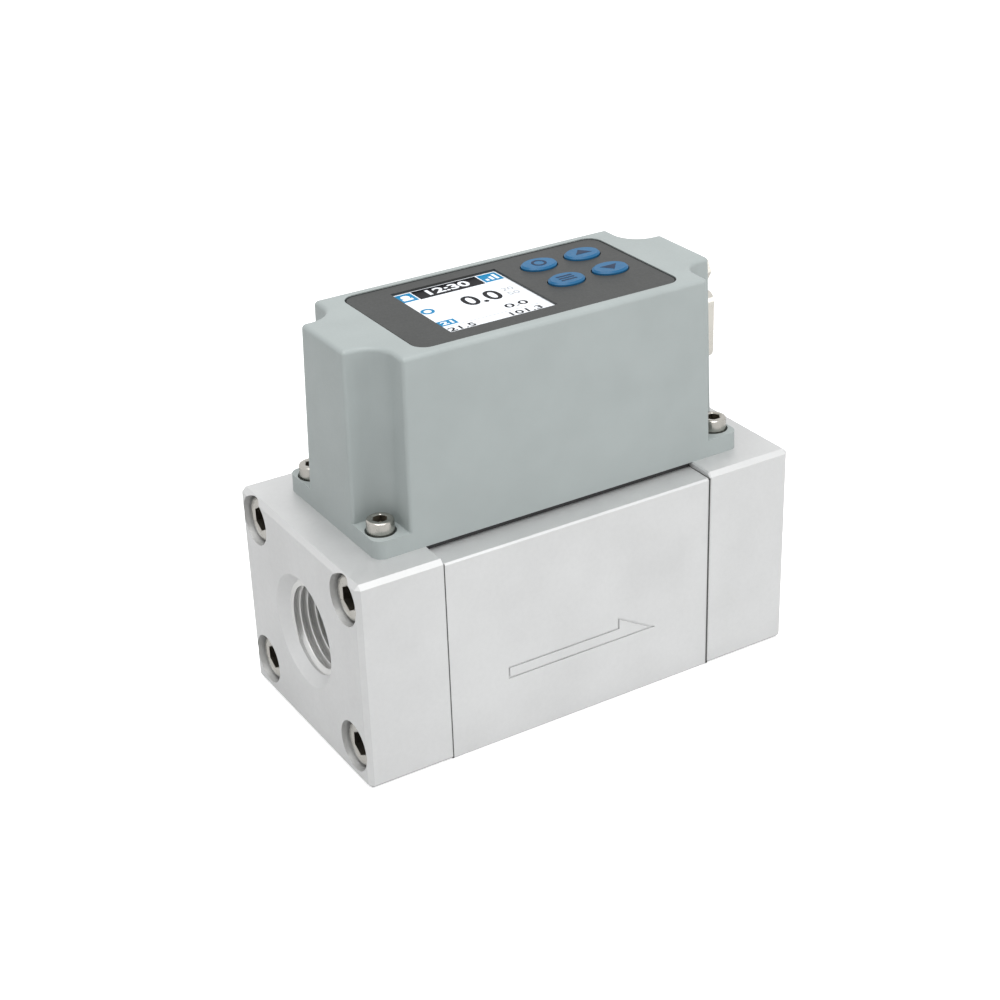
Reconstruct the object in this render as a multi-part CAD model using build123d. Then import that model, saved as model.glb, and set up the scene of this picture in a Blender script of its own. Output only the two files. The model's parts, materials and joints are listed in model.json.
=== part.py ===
from build123d import *
import math
import os

# An in-line thermal mass flow meter, in millimetres.
# Gas flows along +X through an inlet block, a flow body and an outlet block.
# The front, with the flow arrow, faces -Y. Z is up, and the origin is under the middle of the base.
# The housing is as large as its display, keys and connector need, and the base as its screws need.

# Gas port, a half-inch parallel pipe thread, and the duct behind it
thread_major_radius = 10.4775
thread_depth = 15.0
port_mouth_chamfer = 2.2
duct_radius = 9.0

# Flow conditioners in the ends of the flow body
conditioner_seat = 3.0
screen_thickness = 0.8
straightener_thickness = 8.0
cell_pitch = 2.7
cell_width = 2.3
cell_rings = 3
mesh_pitch = 2.4
mesh_hole = 1.8

# O-rings at the block joints
seal_land = 1.6
seal_groove_width = 2.2
seal_groove_depth = 1.4
seal_side_gap = 0.05
seal_edge_break = 0.4

# Blocks
inlet_block_length = 20.0
outlet_block_length = 21.5
block_edge_chamfer = 1.0
joint_edge_break = 0.3
body_top_step = 1.2
body_side_step = 0.3
body_edge_break = 0.4

# Block screws, M6 with recessed heads
block_screw_radius = 3.0
block_screw_length = 25.0
block_screw_head_radius = 5.0
block_screw_head_height = 6.0
block_screw_socket = 5.0
block_screw_clearance = 0.3
block_head_clearance = 0.6
block_head_recess = 2.5
block_screw_rise = 17.5
counterbore_side_edge = 0.9
counterbore_bottom_edge = 2.1
counterbore_top_edge = 0.2
screw_web_x = 2.2
screw_web_y = 0.5

# Flow arrow, an outline cut in the front of the body
arrow_middle_x = -0.8
arrow_length = 38.0
arrow_head_length = 10.0
arrow_drop = 10.2
arrow_shaft_height = 3.0
arrow_barb_height = 2.7
arrow_line_width = 0.45
arrow_depth = 0.3

# Sensor plug and blade
plug_radius = 6.0
plug_tip_recess = 0.5
plug_flange_end = 3.5
plug_flange_width = 17.0
plug_flange_thickness = 3.2
plug_flange_corner = 3.0
plug_seal_groove_depth = 1.1
plug_seal_groove_height = 2.0
plug_seal_drop = 5.3
plug_seal_gap = 0.15
plug_seal_edge_break = 0.3
plug_screw_spacing = 21.0
plug_screw_radius = 1.25
plug_screw_clearance = 0.15
plug_screw_length = 8.0
plug_screw_head_radius = 2.25
plug_screw_head_height = 2.5
plug_screw_socket = 2.0
blade_width = 7.0
blade_thickness = 1.0
blade_tip_below_axis = 4.5
blade_above_plug = 6.0
chip_width = 3.0
chip_height = 3.0
chip_thickness = 0.8

# Display
display_view_length = 25.4
display_view_width = 25.2
glass_end_margin = 1.1
glass_side_margin = 2.6
display_glass_thickness = 1.8
display_gap = 0.3
glass_below_panel = 0.1
backlight_margin = 0.3

# Keys, each a cap over a push switch
key_half_length = 4.2
key_half_width = 3.2
key_rise = 0.7
key_edge_break = 0.4
key_flange = 1.1
key_flange_thickness = 0.8
key_gap = 0.2
key_travel = 0.3
key_spacing_x = 0.5
key_spacing_y = 2.25
key_middle_y = 3.325
switch_size = 4.5
switch_height = 1.3
switch_clearance = 0.4
plunger_radius = 1.1
plunger_gap = 0.1
plunger_depth = 0.6

# Overlay panel
panel_left_margin = 9.9
panel_display_gap = 4.6
panel_right_margin = 4.0
panel_front_margin = 4.45
panel_back_margin = 3.85
panel_thickness = 0.5
panel_sink = 0.2
panel_corner_radius = 3.2
panel_gap = 0.1

# Connector, a nine-pole D-subminiature socket in the outlet end wall
contact_pitch = 2.77
contact_row_offset = 1.42
contact_hole_radius = 0.55
contact_hole_depth = 4.0
contact_tail_length = 4.0
shell_end_room = 2.61
shell_side_room = 2.53
shell_slant = 2.1
shell_corner_radius = 2.2
shell_skirt_wall = 0.5
shell_reach = 6.0
shell_thickness = 0.8
shell_flange_side = 2.3
shell_flange_corner = 1.0
insert_recess = 0.3
insert_side_margin = 0.95
insert_nut_gap = 0.25
insert_back_depth = 5.0
insert_back_corner = 0.8
jack_offset = 4.35
jack_flange_end = 2.9
jack_stud_radius = 1.5
jack_hex = 4.8
jack_length = 5.0
jack_thread_depth = 4.0
jack_thread_radius = 1.2
jack_nut_hex = 5.5
jack_nut_thickness = 2.0
opening_gap = 0.25

# Housing, one moulding open at the bottom, with a notch at each corner over a screw
housing_draft = 1.3
wall = 2.2
flange_thickness = 4.0
flange_corner_radius = 2.5
notch_radius = 5.0
notch_edge_radius = 0.8
top_edge_radius = 1.0
panel_end_land = 5.9
panel_side_land = 3.25
connector_side_land = 3.2
connector_pad_end_margin = 0.9
connector_pad_side_margin = 0.55
connector_pad_above_flange = 2.2
connector_pad_below_top = 2.7
connector_pad_step = 0.34
connector_wall = 1.0

# Housing screws, M3 with split washers, in counterbores in the flange
housing_screw_radius = 1.5
housing_screw_clearance = 0.2
housing_screw_length = 10.0
housing_screw_head_radius = 2.75
housing_screw_head_height = 3.0
housing_screw_socket = 2.5
housing_head_clearance = 0.55
housing_counterbore_depth = 1.3
housing_counterbore_end_edge = 0.4
housing_counterbore_side_edge = 1.5
head_to_notch_end = 0.9
head_to_notch_side = 1.9
lock_washer_thickness = 0.8
lock_washer_gap = 0.6
lock_washer_clearance = 0.1

# Gasket between the housing and the body
gasket_inset = 0.7
gasket_band = 3.0

# Display board, hung from bosses under the housing's top
board_thickness = 1.6
display_board_gap = 0.5
boss_radius = 2.5
boss_inset = 3.2
board_screw_radius = 1.1
board_screw_clearance = 0.2
board_screw_head_radius = 2.0
board_screw_head_height = 1.4
board_screw_edge_break = 0.5

# Main board, upright along the middle of the housing
main_board_top_gap = 2.9
guide_rib_length = 2.6
guide_rib_thickness = 1.2
guide_rib_drop = 2.0
guide_slot_gap = 0.1
board_end_gap = 0.9
processor_size = 10.0
processor_thickness = 1.4
sensor_link_length = 12.0
sensor_link_width = 5.0
sensor_link_slot_gap = 0.05
sensor_link_overlap = 3.0
sensor_link_web = 1.5
link_pin_count = 6
link_pin_pitch = 2.54
link_pin_side = 0.64
link_start_x = 8.5
link_body_depth = 2.5
link_pin_tail = 0.8
link_hole_gap = 0.08

# Panel, with the display and the keys placed from its edges
display_glass_length = display_view_length + 2 * glass_end_margin
display_glass_width = display_view_width + 2 * glass_side_margin
key_pitch_x = 2 * (key_half_length + key_flange) + key_spacing_x
key_pitch_y = 2 * (key_half_width + key_flange) + key_spacing_y
keys_length = 2 * key_half_length + key_pitch_x
panel_length = panel_left_margin + display_view_length + panel_display_gap + keys_length + panel_right_margin
panel_width = panel_front_margin + display_view_width + panel_back_margin
display_x = -panel_length / 2 + panel_left_margin + display_view_length / 2
display_y = -panel_width / 2 + panel_front_margin + display_view_width / 2
right_key_x = panel_length / 2 - panel_right_margin - key_half_length

# Connector
shell_long_side = 4 * contact_pitch + 2 * shell_end_room
shell_short_side = shell_long_side - shell_slant
shell_width = 2 * contact_row_offset + 2 * shell_side_room
jack_spacing = shell_long_side + 2 * jack_offset
shell_flange_length = jack_spacing + 2 * jack_flange_end
shell_flange_width = shell_width + 2 * shell_flange_side
insert_back_length = jack_spacing - jack_nut_hex - 2 * insert_nut_gap
insert_back_width = shell_flange_width - 2 * insert_side_margin
connector_pad_length = shell_flange_length + 2 * connector_pad_end_margin
connector_pad_width = shell_flange_width + 2 * connector_pad_side_margin

# Housing, round the panel and as wide at its ends as the connector needs
housing_counterbore_radius = housing_screw_head_radius + housing_head_clearance
housing_screw_end_inset = housing_counterbore_radius + housing_counterbore_end_edge
housing_screw_side_inset = housing_counterbore_radius + housing_counterbore_side_edge
notch_length = housing_screw_end_inset + housing_counterbore_radius + head_to_notch_end
notch_width = housing_screw_side_inset + housing_counterbore_radius + head_to_notch_side
width_for_panel = panel_width + 2 * panel_side_land
width_for_connector = connector_pad_width + 2 * (connector_side_land + notch_width)
housing_length = panel_length + 2 * (panel_end_land + notch_length)
housing_width = max(width_for_panel, width_for_connector)
housing_height = (flange_thickness + connector_pad_above_flange + connector_pad_length
                  + connector_pad_below_top)
housing_screw_x = housing_length / 2 - housing_screw_end_inset
housing_screw_y = housing_width / 2 - housing_screw_side_inset
housing_screw_depth = housing_screw_length - (flange_thickness - housing_counterbore_depth)

# Base, round the port and the two sets of screws
port_mouth_radius = thread_major_radius + port_mouth_chamfer
conditioner_radius = duct_radius + conditioner_seat
seal_groove_inner_radius = conditioner_radius + seal_land
block_counterbore_radius = block_screw_head_radius + block_head_clearance
block_counterbore_depth = block_screw_head_height + block_head_recess
block_screw_hole_radius = block_screw_radius + block_screw_clearance
block_screw_y = housing_screw_y + housing_screw_radius + screw_web_y + block_screw_hole_radius
base_width = 2 * (block_screw_y + block_counterbore_radius + counterbore_side_edge)
base_length = 2 * (housing_screw_x + housing_screw_radius + screw_web_x + block_counterbore_depth)
port_axis_height = counterbore_bottom_edge + block_counterbore_radius + block_screw_rise
block_height = port_axis_height + block_screw_rise + block_counterbore_radius + counterbore_top_edge

# Places along the flow
inlet_face_x = -base_length / 2
outlet_face_x = base_length / 2
inlet_joint_x = inlet_face_x + inlet_block_length
outlet_joint_x = outlet_face_x - outlet_block_length
body_front_y = -(base_width / 2 - body_side_step)
draft_slope = math.tan(math.radians(housing_draft))
connector_face_x = housing_length / 2 - connector_pad_step
connector_seat_x = connector_face_x - connector_wall
shell_back_x = connector_seat_x - shell_thickness
insert_back_x = shell_back_x - insert_back_depth
main_board_end_x = insert_back_x - board_end_gap
main_board_start_x = -(housing_length / 2 - wall - board_end_gap)

# Heights
body_top = block_height - body_top_step
duct_crown = port_axis_height + duct_radius
flange_top = block_height + flange_thickness
housing_top = block_height + housing_height
ceiling = housing_top - wall
panel_top = housing_top - panel_sink
panel_bottom = panel_top - panel_thickness
glass_top = panel_bottom - glass_below_panel
display_board_drop = key_flange_thickness + key_travel + switch_clearance + switch_height
display_board_top = ceiling - display_board_drop
display_board_bottom = display_board_top - board_thickness
blade_top = body_top + plug_flange_thickness + blade_above_plug
main_board_bottom = blade_top + sensor_link_web
main_board_top = display_board_bottom - main_board_top_gap
connector_z = flange_top + connector_pad_above_flange + connector_pad_length / 2

# Display board, as large as the hollow under the housing's top allows
hollow_draft = (ceiling - block_height) * draft_slope
display_board_half_length = housing_length / 2 - notch_length - wall - hollow_draft - display_board_gap
display_board_half_width = housing_width / 2 - wall - hollow_draft - display_board_gap
board_screw_length = board_thickness + display_board_drop


# Small shapes
def block(x0, x1, y0, y1, z0, z1):
    middle = Pos((x0 + x1) / 2, (y0 + y1) / 2, (z0 + z1) / 2)
    return middle * Box(x1 - x0, y1 - y0, z1 - z0)


def rod_x(radius, x0, x1, y=0.0, z=port_axis_height):
    return Pos((x0 + x1) / 2, y, z) * Rot(0, 90, 0) * Cylinder(radius, x1 - x0)


def rod_z(radius, z0, z1, x=0.0, y=0.0):
    return Pos(x, y, (z0 + z1) / 2) * Cylinder(radius, z1 - z0)


def ring_x(outer, inner, x0, x1):
    return rod_x(outer, x0, x1) - rod_x(inner, x0, x1)


def four_corners(u, v):
    return [(side_u * u, side_v * v) for side_u in (-1, 1) for side_v in (-1, 1)]


def oval(half_length, half_width, z0, z1, x, y):
    return Pos(x, y, z0) * extrude(Ellipse(half_length, half_width), amount=z1 - z0)


def hexagon_prism(across_flats, height):
    return extrude(RegularPolygon(across_flats / 2, 6, major_radius=False), amount=height)


def cap_screw(radius, length, head_radius, head_height, socket):
    # Upright, with the underside of its head at z = 0.
    head = extrude(Circle(head_radius), amount=head_height)
    head = chamfer(head.edges().sort_by(Axis.Z)[-1], head_height * 0.1)
    shank = extrude(Circle(radius), amount=-length)
    shank = chamfer(shank.edges().sort_by(Axis.Z)[0], radius * 0.25)
    key_hole = Pos(0, 0, head_height / 2) * hexagon_prism(socket, head_height)
    return head + shank - key_hole


def seal_ring(inner, depth, height, edge_break):
    # An O-ring as it lies squeezed in its groove, round the Z axis.
    section = Pos(inner + depth / 2, 0) * Rectangle(depth, height)
    section = chamfer(section.vertices(), edge_break)
    return revolve(Plane.XZ * section, Axis.Z)


# Inlet and outlet blocks
def block_screw_places():
    return [(y, port_axis_height + z) for y, z in four_corners(block_screw_y, block_screw_rise)]


def housing_screw_places():
    return four_corners(housing_screw_x, housing_screw_y)


def end_block(length):
    # Built with its outer face at x = 0 and its joint face at x = length.
    half_width = base_width / 2
    body = block(0, length, -half_width, half_width, 0, block_height)
    outer_face = body.faces().sort_by(Axis.X)[0]
    long_edges = body.edges().filter_by(Axis.X)
    body = chamfer(outer_face.edges() + long_edges, block_edge_chamfer)
    joint_face = body.faces().sort_by(Axis.X)[-1]
    body = chamfer(joint_face.edges(), joint_edge_break)

    mouth = Cone(port_mouth_radius, thread_major_radius, port_mouth_chamfer)
    body -= Pos(port_mouth_chamfer / 2, 0, port_axis_height) * Rot(0, 90, 0) * mouth
    body -= rod_x(thread_major_radius, 0, thread_depth)
    body -= rod_x(duct_radius, thread_depth, length)
    for y, z in block_screw_places():
        body -= rod_x(block_counterbore_radius, 0, block_counterbore_depth, y, z)
        body -= rod_x(block_screw_hole_radius, block_counterbore_depth, length, y, z)
    for y in (-housing_screw_y, housing_screw_y):
        hole_x = base_length / 2 - housing_screw_x
        body -= rod_z(housing_screw_radius, block_height - housing_screw_depth, block_height, hole_x, y)
    return body


def make_inlet_block():
    return Pos(inlet_face_x, 0, 0) * end_block(inlet_block_length)


def make_outlet_block():
    return Pos(outlet_face_x, 0, 0) * Rot(0, 0, 180) * end_block(outlet_block_length)


def block_screws(face_x, inward):
    screw = cap_screw(block_screw_radius, block_screw_length, block_screw_head_radius,
                      block_screw_head_height, block_screw_socket)
    seat_x = face_x + inward * block_counterbore_depth
    return [Pos(seat_x, y, z) * Rot(0, -90 * inward, 0) * screw for y, z in block_screw_places()]


# Flow body
def arrow_outline():
    base = port_axis_height - arrow_drop
    top = base + arrow_shaft_height
    tail_x = arrow_middle_x - arrow_length / 2
    tip_x = arrow_middle_x + arrow_length / 2
    barb_x = tip_x - arrow_head_length
    shape = make_face(Polyline((tail_x, base), (tail_x, top), (barb_x, top),
                               (barb_x, top + arrow_barb_height), (tip_x, base), close=True))
    return shape - offset(shape, -arrow_line_width, kind=Kind.INTERSECTION)


def make_flow_body():
    half_width = base_width / 2 - body_side_step
    body = block(inlet_joint_x, outlet_joint_x, -half_width, half_width, 0, body_top)
    body = chamfer(body.edges().filter_by(Axis.X), body_edge_break)

    body -= rod_x(duct_radius, inlet_joint_x, outlet_joint_x)
    inlet_seat = screen_thickness + straightener_thickness
    body -= rod_x(conditioner_radius, inlet_joint_x, inlet_joint_x + inlet_seat)
    body -= rod_x(conditioner_radius, outlet_joint_x - screen_thickness, outlet_joint_x)
    groove_outer = seal_groove_inner_radius + seal_groove_width
    body -= ring_x(groove_outer, seal_groove_inner_radius, inlet_joint_x, inlet_joint_x + seal_groove_depth)
    body -= ring_x(groove_outer, seal_groove_inner_radius, outlet_joint_x - seal_groove_depth, outlet_joint_x)

    for y, z in block_screw_places():
        inlet_engagement = block_screw_length - (inlet_block_length - block_counterbore_depth)
        outlet_engagement = block_screw_length - (outlet_block_length - block_counterbore_depth)
        body -= rod_x(block_screw_radius, inlet_joint_x, inlet_joint_x + inlet_engagement, y, z)
        body -= rod_x(block_screw_radius, outlet_joint_x - outlet_engagement, outlet_joint_x, y, z)

    body -= rod_z(plug_radius, port_axis_height, body_top)
    for x in plug_screw_places():
        depth = plug_screw_length - plug_flange_thickness
        body -= rod_z(plug_screw_radius, body_top - depth, body_top, x)

    arrow = Plane.XZ.offset(-body_front_y) * arrow_outline()
    body -= extrude(arrow, amount=-arrow_depth)
    return body


def joint_o_ring(x0):
    ring = seal_ring(seal_groove_inner_radius + seal_side_gap, seal_groove_width - 2 * seal_side_gap,
                     seal_groove_depth, seal_edge_break)
    return Pos(x0 + seal_groove_depth / 2, 0, port_axis_height) * Rot(0, 90, 0) * ring


def make_inlet_o_ring():
    return joint_o_ring(inlet_joint_x)


def make_outlet_o_ring():
    return joint_o_ring(outlet_joint_x - seal_groove_depth)


# Flow conditioners
def hex_cell_places():
    places = []
    for q in range(-cell_rings, cell_rings + 1):
        for r in range(-cell_rings, cell_rings + 1):
            if abs(q + r) <= cell_rings:
                places.append((cell_pitch * (q + r / 2), cell_pitch * r * math.sqrt(3) / 2))
    return places


def mesh_places():
    reach = int(duct_radius / mesh_pitch)
    places = []
    for i in range(-reach, reach + 1):
        for j in range(-reach, reach + 1):
            if math.hypot(i, j) * mesh_pitch + mesh_hole / 2 <= duct_radius:
                places.append((i * mesh_pitch, j * mesh_pitch))
    return places


def pierced_disc(x0, thickness, hole, places):
    plate = Circle(conditioner_radius)
    plate -= [Pos(u, v) * hole for u, v in places]
    return Pos(x0, 0, port_axis_height) * Rot(0, 90, 0) * extrude(plate, amount=thickness)


def make_inlet_screen():
    return pierced_disc(inlet_joint_x, screen_thickness, Rectangle(mesh_hole, mesh_hole), mesh_places())


def make_flow_straightener():
    cell = RegularPolygon(cell_width / 2, 6, major_radius=False, rotation=30)
    start = inlet_joint_x + screen_thickness
    return pierced_disc(start, straightener_thickness, cell, hex_cell_places())


def make_outlet_screen():
    start = outlet_joint_x - screen_thickness
    return pierced_disc(start, screen_thickness, Rectangle(mesh_hole, mesh_hole), mesh_places())


# Sensor
def plug_screw_places():
    return (-plug_screw_spacing / 2, plug_screw_spacing / 2)


def make_sensor_plug():
    tip_z = duct_crown - plug_tip_recess
    stem = rod_z(plug_radius, tip_z, body_top)
    flange = RectangleRounded(plug_screw_spacing + 2 * plug_flange_end, plug_flange_width, plug_flange_corner)
    plug = stem + Pos(0, 0, body_top) * extrude(flange, amount=plug_flange_thickness)
    groove_top = body_top - plug_seal_drop
    groove_bottom = groove_top - plug_seal_groove_height
    groove = rod_z(plug_radius, groove_bottom, groove_top)
    groove -= rod_z(plug_radius - plug_seal_groove_depth, groove_bottom, groove_top)
    plug -= groove
    plug -= block(-blade_width / 2, blade_width / 2, -blade_thickness / 2, blade_thickness / 2,
                  tip_z, body_top + plug_flange_thickness)
    for x in plug_screw_places():
        plug -= rod_z(plug_screw_radius + plug_screw_clearance, body_top, body_top + plug_flange_thickness, x)
    return plug


def make_sensor_plug_o_ring():
    ring = seal_ring(plug_radius - plug_seal_groove_depth, plug_seal_groove_depth,
                     plug_seal_groove_height - 2 * plug_seal_gap, plug_seal_edge_break)
    return Pos(0, 0, body_top - plug_seal_drop - plug_seal_groove_height / 2) * ring


def make_sensor_plug_screws():
    seat_z = body_top + plug_flange_thickness
    screw = cap_screw(plug_screw_radius, plug_screw_length, plug_screw_head_radius,
                      plug_screw_head_height, plug_screw_socket)
    return [Pos(x, 0, seat_z) * screw for x in plug_screw_places()]


def make_sensor_blade():
    return block(-blade_width / 2, blade_width / 2, -blade_thickness / 2, blade_thickness / 2,
                 port_axis_height - blade_tip_below_axis, blade_top)


def make_sensor_chip():
    front = -blade_thickness / 2
    return block(-chip_width / 2, chip_width / 2, front - chip_thickness, front,
                 port_axis_height - chip_height / 2, port_axis_height + chip_height / 2)


# Housing
def cross_outline(inset):
    # The outline of the moulding above its flange, at the base, drawn in by the wall when hollowed.
    half_length = housing_length / 2 - inset
    half_width = housing_width / 2 - inset
    notch_x = half_length - notch_length
    notch_y = half_width - notch_width
    quarter = [(half_length, notch_y), (notch_x, notch_y), (notch_x, half_width)]
    points = quarter + [(-x, y) for x, y in reversed(quarter)]
    points += [(-x, -y) for x, y in points]
    outline = make_face(Polyline(*points, close=True))
    notch_corners = [corner for corner in outline.vertices()
                     if abs(corner.X) < half_length - 0.01 and abs(corner.Y) < half_width - 0.01]
    return fillet(notch_corners, notch_radius + inset)


def drafted_cross(inset, top_z):
    cross = extrude(cross_outline(inset), amount=top_z - block_height, taper=housing_draft)
    return Pos(0, 0, block_height) * cross


def outer_corner_edges(shape):
    chosen = []
    for edge in shape.edges():
        low, high = sorted(edge.vertices(), key=lambda v: v.Z)
        at_side = abs(abs(low.X) - housing_length / 2) < 0.01 or abs(abs(low.Y) - housing_width / 2) < 0.01
        if at_side and high.Z - low.Z > housing_height / 2:
            chosen.append(edge)
    return chosen


def boss_places():
    return four_corners(display_board_half_length - boss_inset, display_board_half_width - boss_inset)


def key_places():
    left_x = right_key_x - key_pitch_x
    back_y = key_middle_y + key_pitch_y / 2
    front_y = key_middle_y - key_pitch_y / 2
    return {
        "cancel": (left_x, back_y),
        "up": (right_key_x, back_y),
        "mode": (left_x, front_y),
        "down": (right_key_x, front_y),
    }


def shell_section(grow):
    # The D outline, its long side towards the front, its height along the sketch's Y.
    half_width = shell_width / 2 + grow
    half_long = shell_long_side / 2 + grow
    half_short = shell_short_side / 2 + grow
    shape = Polygon((-half_width, -half_long), (half_width, -half_short), (half_width, half_short),
                    (-half_width, half_long), align=None)
    return fillet(shape.vertices(), shell_corner_radius + grow)


def end_plane(x0, z=connector_z):
    # Looks along the flow, with its X across the meter and its Y up.
    return Plane(origin=(x0, 0, z), x_dir=(0, 1, 0), z_dir=(1, 0, 0))


def d_prism(grow, x0, x1):
    return extrude(end_plane(x0) * shell_section(grow), amount=x1 - x0)


def connector_pad(x0, x1):
    half_width = connector_pad_width / 2
    half_length = connector_pad_length / 2
    return block(x0, x1, -half_width, half_width, connector_z - half_length, connector_z + half_length)


def make_housing():
    upper = drafted_cross(0.0, housing_top)
    upper = fillet(outer_corner_edges(upper), notch_edge_radius)
    upper = fillet(upper.faces().sort_by(Axis.Z)[-1].edges(), top_edge_radius)
    flange = RectangleRounded(housing_length, housing_width, flange_corner_radius)
    shell = upper + Pos(0, 0, block_height) * extrude(flange, amount=flange_thickness, taper=housing_draft)
    shell -= drafted_cross(wall, ceiling)

    for x, y in boss_places():
        shell += rod_z(boss_radius, display_board_top, ceiling, x, y)
        shell -= rod_z(board_screw_radius, display_board_top, ceiling, x, y)
    for side in (-1, 1):
        near = side * (board_thickness / 2 + guide_slot_gap)
        far = near + side * guide_rib_thickness
        wall_x = -(housing_length / 2 - wall / 2)
        shell += block(wall_x, main_board_start_x + guide_rib_length, min(near, far), max(near, far),
                       main_board_bottom - guide_rib_drop, main_board_top)

    for x, y in housing_screw_places():
        seat = flange_top - housing_counterbore_depth
        shell -= rod_z(housing_counterbore_radius, seat, flange_top, x, y)
        shell -= rod_z(housing_screw_radius + housing_screw_clearance, block_height, seat, x, y)

    recess = RectangleRounded(panel_length + 2 * panel_gap, panel_width + 2 * panel_gap,
                              panel_corner_radius + panel_gap)
    shell -= Pos(0, 0, panel_bottom) * extrude(recess, amount=housing_top - panel_bottom)
    window_length = display_glass_length + 2 * display_gap
    window_width = display_glass_width + 2 * display_gap
    shell -= Pos(display_x, display_y, (ceiling + housing_top) / 2) * Box(window_length, window_width, wall)
    for x, y in key_places().values():
        shell -= oval(key_half_length + key_gap, key_half_width + key_gap, ceiling, housing_top, x, y)

    # A pad without draft seats the connector.
    shell += connector_pad(connector_seat_x, connector_face_x)
    shell -= connector_pad(connector_face_x, housing_length / 2)
    shell -= connector_pad(connector_seat_x - wall, connector_seat_x)
    shell -= d_prism(opening_gap, connector_seat_x, connector_face_x)
    for z in jack_heights():
        shell -= rod_x(jack_stud_radius + opening_gap, connector_seat_x, connector_face_x, 0, z)
    return shell


def make_housing_gasket():
    outer_y = housing_width / 2 - gasket_inset
    ring = block(inlet_joint_x, outlet_joint_x, -outer_y, outer_y, body_top, block_height)
    inner_y = outer_y - gasket_band
    ring -= block(inlet_joint_x + gasket_band, outlet_joint_x - gasket_band, -inner_y, inner_y,
                  body_top, block_height)
    return ring


def make_housing_screws():
    seat_z = flange_top - housing_counterbore_depth + lock_washer_thickness
    screw = cap_screw(housing_screw_radius, housing_screw_length + lock_washer_thickness,
                      housing_screw_head_radius, housing_screw_head_height, housing_screw_socket)
    return [Pos(x, y, seat_z) * screw for x, y in housing_screw_places()]


def make_housing_lock_washers():
    seat_z = flange_top - housing_counterbore_depth
    washer = rod_z(housing_screw_head_radius, 0, lock_washer_thickness)
    washer -= rod_z(housing_screw_radius + lock_washer_clearance, 0, lock_washer_thickness)
    washer -= block(0, housing_screw_head_radius, -lock_washer_gap / 2, lock_washer_gap / 2,
                    0, lock_washer_thickness)
    return [Pos(x, y, seat_z) * washer for x, y in housing_screw_places()]


# Panel, display and keys
def make_overlay_panel():
    sheet = RectangleRounded(panel_length, panel_width, panel_corner_radius)
    sheet -= Pos(display_x, display_y) * Rectangle(display_view_length, display_view_width)
    for x, y in key_places().values():
        sheet -= Pos(x, y) * Ellipse(key_half_length + key_gap, key_half_width + key_gap)
    return Pos(0, 0, panel_bottom) * extrude(sheet, amount=panel_thickness)


def make_display_glass():
    centre = Pos(display_x, display_y, glass_top - display_glass_thickness / 2)
    return centre * Box(display_glass_length, display_glass_width, display_glass_thickness)


def make_display_backlight():
    bottom = display_board_top
    top = glass_top - display_glass_thickness
    centre = Pos(display_x, display_y, (bottom + top) / 2)
    return centre * Box(display_glass_length + 2 * backlight_margin,
                        display_glass_width + 2 * backlight_margin, top - bottom)


def make_key(x, y):
    cap = oval(key_half_length, key_half_width, ceiling, panel_top + key_rise, x, y)
    cap = chamfer(cap.edges().sort_by(Axis.Z)[-1], key_edge_break)
    flange = oval(key_half_length + key_flange, key_half_width + key_flange,
                  ceiling - key_flange_thickness, ceiling, x, y)
    return cap + flange


def make_switch(x, y):
    half = switch_size / 2
    top = display_board_top + switch_height
    case = block(x - half, x + half, y - half, y + half, display_board_top, top)
    well_bottom = top - plunger_depth - key_travel - plunger_gap
    return case - rod_z(plunger_radius + plunger_gap, well_bottom, top, x, y)


def make_plunger(x, y):
    top = ceiling - key_flange_thickness
    bottom = display_board_top + switch_height - plunger_depth
    return rod_z(plunger_radius, bottom, top, x, y)


# Boards
def link_pin_places():
    return [link_start_x + i * link_pin_pitch for i in range(link_pin_count)]


def link_pin_y():
    return board_thickness / 2 + link_body_depth / 2


def link_body_z():
    return main_board_top - link_body_depth


def make_display_board():
    board = block(-display_board_half_length, display_board_half_length, -display_board_half_width,
                  display_board_half_width, display_board_bottom, display_board_top)
    for x, y in boss_places():
        board -= rod_z(board_screw_radius + board_screw_clearance, display_board_bottom, display_board_top, x, y)
    hole = link_pin_side / 2 + link_hole_gap
    for x in link_pin_places():
        board -= block(x - hole, x + hole, link_pin_y() - hole, link_pin_y() + hole,
                       display_board_bottom, display_board_top)
    return board


def make_display_board_screws():
    head = rod_z(board_screw_head_radius, -board_screw_head_height, 0)
    head = chamfer(head.edges().sort_by(Axis.Z)[0], board_screw_edge_break)
    screw = head + rod_z(board_screw_radius, 0, board_screw_length)
    return [Pos(x, y, display_board_bottom) * screw for x, y in boss_places()]


def make_main_board():
    half = board_thickness / 2
    board = block(main_board_start_x, main_board_end_x, -half, half, main_board_bottom, main_board_top)
    hole = link_pin_side / 2 + link_hole_gap
    z = link_body_z()
    for x in link_pin_places():
        board -= block(x - hole, x + hole, -half, half, z - hole, z + hole)
    return board


def make_processor_chip():
    back = -board_thickness / 2
    half = processor_size / 2
    middle = (main_board_bottom + main_board_top) / 2
    return block(-half, half, back - processor_thickness, back, middle - half, middle + half)


def make_sensor_link():
    # A socket on the main board's lower edge that takes the sensor blade's upper end.
    half_length = sensor_link_length / 2
    half_width = sensor_link_width / 2
    bottom = blade_top - sensor_link_overlap
    top = main_board_bottom + sensor_link_overlap
    body = block(-half_length, half_length, -half_width, half_width, bottom, top)
    gap = sensor_link_slot_gap
    body -= block(-blade_width / 2 - gap, blade_width / 2 + gap, -blade_thickness / 2 - gap,
                  blade_thickness / 2 + gap, bottom, blade_top)
    board_half = board_thickness / 2
    body -= block(-half_length, half_length, -board_half, board_half, main_board_bottom, top)
    return body


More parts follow.
